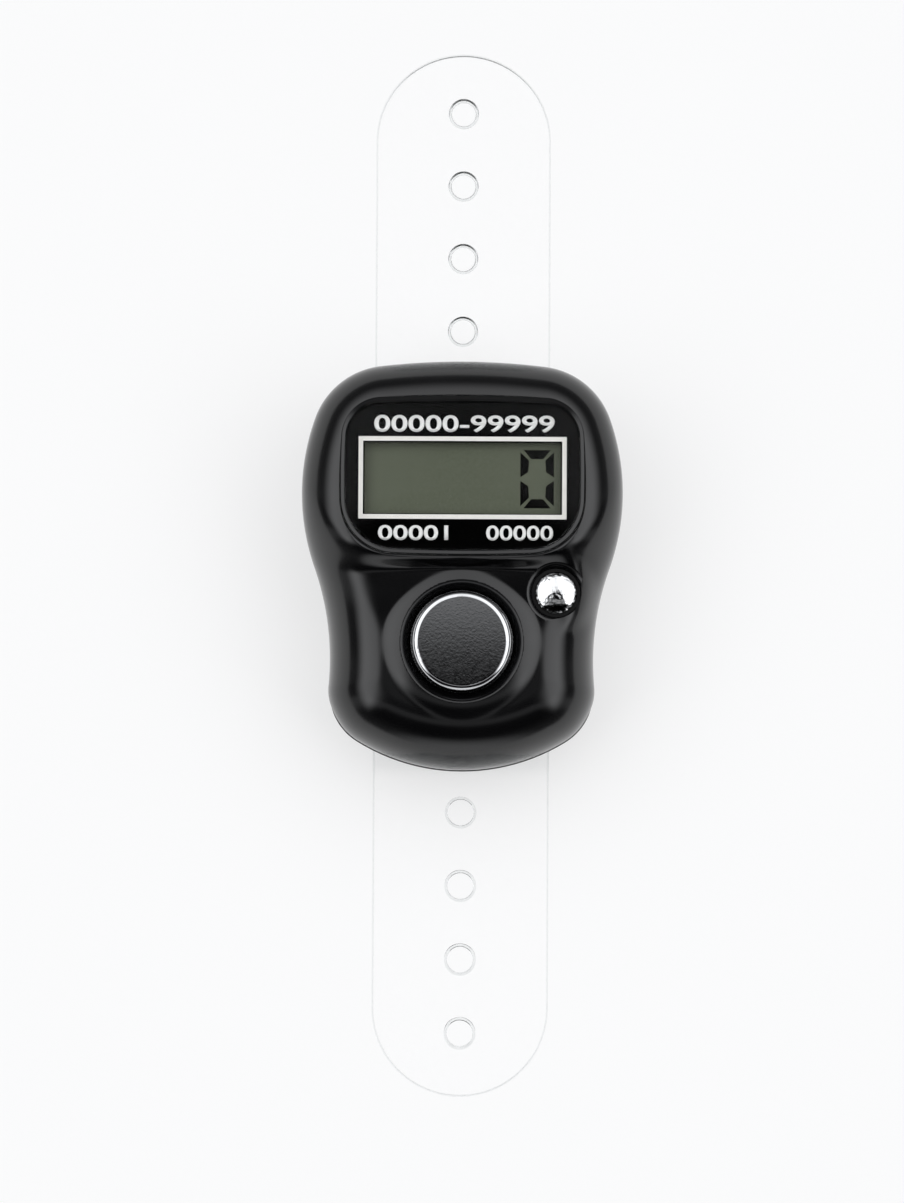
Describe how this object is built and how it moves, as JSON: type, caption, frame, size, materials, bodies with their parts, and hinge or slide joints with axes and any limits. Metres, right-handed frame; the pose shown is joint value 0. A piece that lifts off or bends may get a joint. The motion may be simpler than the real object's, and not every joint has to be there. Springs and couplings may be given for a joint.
{
  "type": "finger tally counter",
  "caption": "Rounded finger tally counter with a display window, a large plated count button in a raised collar, a small reset button and a clear strap that snaps shut.",
  "frame": {"origin": "middle of the strap's and casing's footprint, on the surface that the counter lies on", "axes": "+Z out of the face, +Y along the strap towards the display end, +X to the right of the face"},
  "size_m": [0.03, 0.1, 0.0149],
  "materials": {
    "shell_black": "gloss injection-moulded ABS",
    "window_clear": "clear polished acrylic",
    "mask_black": "black printed film",
    "silver_line": "silver print",
    "lcd_film": "grey-green polarising film",
    "lcd_glass": "thin display glass",
    "lcd_mirror": "grey-green reflector film",
    "holder_white": "natural moulded plastic",
    "zebra_rubber": "striped conductive rubber",
    "board_laminate": "green coated laminate",
    "resin_black": "black potting resin",
    "passive_body": "ceramic chip body",
    "pad_carbon": "printed carbon",
    "chrome_plate": "bright chrome plating on plastic",
    "dome_silicone": "translucent silicone",
    "pill_carbon": "conductive rubber",
    "cell_steel": "nickel-plated steel",
    "gasket_nylon": "nylon sealing ring",
    "contact_spring": "nickel-plated spring strip",
    "screw_steel": "zinc-plated steel",
    "strap_clear": "clear soft moulded strap"
  },
  "bodies": {
    "casing": {"front_shell": "shell_black", "rear_shell": "shell_black", "display_window": "window_clear", "window_mask": "mask_black", "silver_border": "silver_line", "lcd_front_polariser": "lcd_film", "lcd_front_glass": "lcd_glass", "lcd_rear_glass": "lcd_glass", "lcd_reflector": "lcd_mirror", "lcd_holder": "holder_white", "zebra_strip": "zebra_rubber", "circuit_board": "board_laminate", "chip_blob": "resin_black", "timing_resistor": "passive_body", "bypass_capacitor": "passive_body", "key_pads": "pad_carbon", "count_dome": "dome_silicone", "reset_dome": "dome_silicone", "button_cell_can": "cell_steel", "button_cell_gasket": "gasket_nylon", "button_cell_cap": "cell_steel", "battery_contact_positive": "contact_spring", "battery_contact_negative": "contact_spring", "case_screws": "screw_steel", "board_screws": "screw_steel", "strap_saddle": "strap_clear", "strap_upper_bend": "strap_clear", "strap_lower_bend": "strap_clear"},
    "count_key": {"count_button": "chrome_plate", "count_pill": "pill_carbon"},
    "reset_key": {"reset_button": "chrome_plate", "reset_pill": "pill_carbon"},
    "stud_tail": {"strap_stud_tail": "strap_clear"},
    "hole_tail": {"strap_hole_tail": "strap_clear"}
  },
  "joints": [
    {"name": "count_press", "type": "slide", "parent": "casing", "child": "count_key", "axis": [0, 0, -1], "range_m": [0, 0.0009], "stiffness_N_per_m": 600, "springref_m": -0.0005, "deforming": ["count_dome"]},
    {"name": "reset_press", "type": "slide", "parent": "casing", "child": "reset_key", "axis": [0, 0, -1], "range_m": [0, 0.0007], "stiffness_N_per_m": 600, "springref_m": -0.0005, "deforming": ["reset_dome"]},
    {"name": "stud_tail_fold", "type": "hinge", "parent": "casing", "child": "stud_tail", "pos_m": [0, 0.018, 0.00145], "axis": [-1, 0, 0], "range_deg": [0, 80], "stiffness_Nm_per_rad": 0.004, "deforming": ["strap_upper_bend"]},
    {"name": "hole_tail_fold", "type": "hinge", "parent": "casing", "child": "hole_tail", "pos_m": [0, -0.018, 0.00145], "axis": [1, 0, 0], "range_deg": [0, 80], "stiffness_Nm_per_rad": 0.004, "deforming": ["strap_lower_bend"]}
  ]
}
